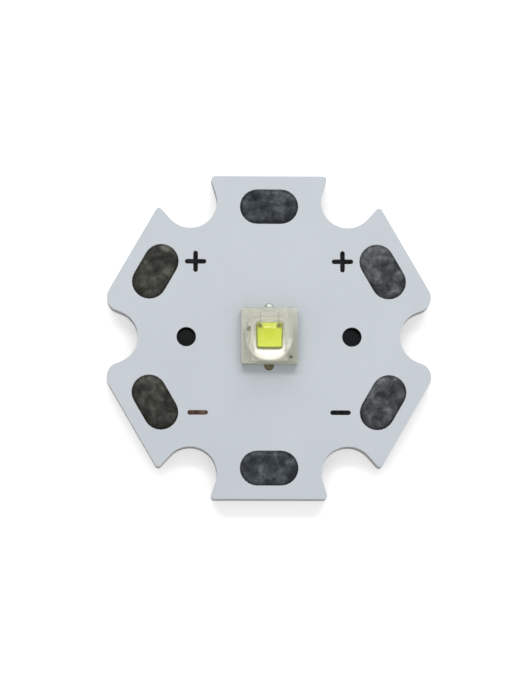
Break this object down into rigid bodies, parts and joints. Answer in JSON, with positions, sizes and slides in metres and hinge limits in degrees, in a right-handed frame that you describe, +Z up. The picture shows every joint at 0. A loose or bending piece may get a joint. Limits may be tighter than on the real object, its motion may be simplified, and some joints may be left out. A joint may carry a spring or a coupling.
{
  "type": "star board power led",
  "caption": "Star-shaped aluminium circuit board with solder pads round its edge and a domed LED package at its centre.",
  "frame": {"origin": "centre of the board's underside", "axes": "+Z up out of the lens, +Y towards the top solder pad, with the plus pads on the +Y half"},
  "size_m": [0.02, 0.02, 0.004],
  "materials": {
    "aluminium": "satin",
    "dielectric": "matte",
    "copper": "satin",
    "solder_mask": "satin",
    "pad_tin": "satin",
    "mark_tin": "satin",
    "solder": "satin",
    "terminal_metal": "satin",
    "ceramic": "matte",
    "die": "polished",
    "phosphor": "matte",
    "gold": "polished",
    "diode": "satin",
    "silicone": "clear",
    "polarity_mark": "matte"
  },
  "bodies": {
    "root": {"aluminium_base": "aluminium", "dielectric_layer": "dielectric", "anode_copper": "copper", "thermal_copper": "copper", "cathode_copper": "copper", "solder_mask": "solder_mask", "top_pad": "pad_tin", "bottom_pad": "pad_tin", "plus_pad_left": "pad_tin", "plus_pad_right": "pad_tin", "minus_pad_left": "pad_tin", "minus_pad_right": "pad_tin", "plus_mark_left": "mark_tin", "plus_mark_right": "mark_tin", "minus_mark_left": "mark_tin", "minus_mark_right": "mark_tin", "anode_solder": "solder", "thermal_solder": "solder", "cathode_solder": "solder", "anode_terminal": "terminal_metal", "thermal_terminal": "terminal_metal", "cathode_terminal": "terminal_metal", "ceramic_substrate": "ceramic", "led_die": "die", "phosphor_layer": "phosphor", "bond_wire_left": "gold", "bond_wire_right": "gold", "esd_diode": "diode", "esd_wire": "gold", "silicone_lens": "silicone", "polarity_mark": "polarity_mark"}
  },
  "joints": []
}
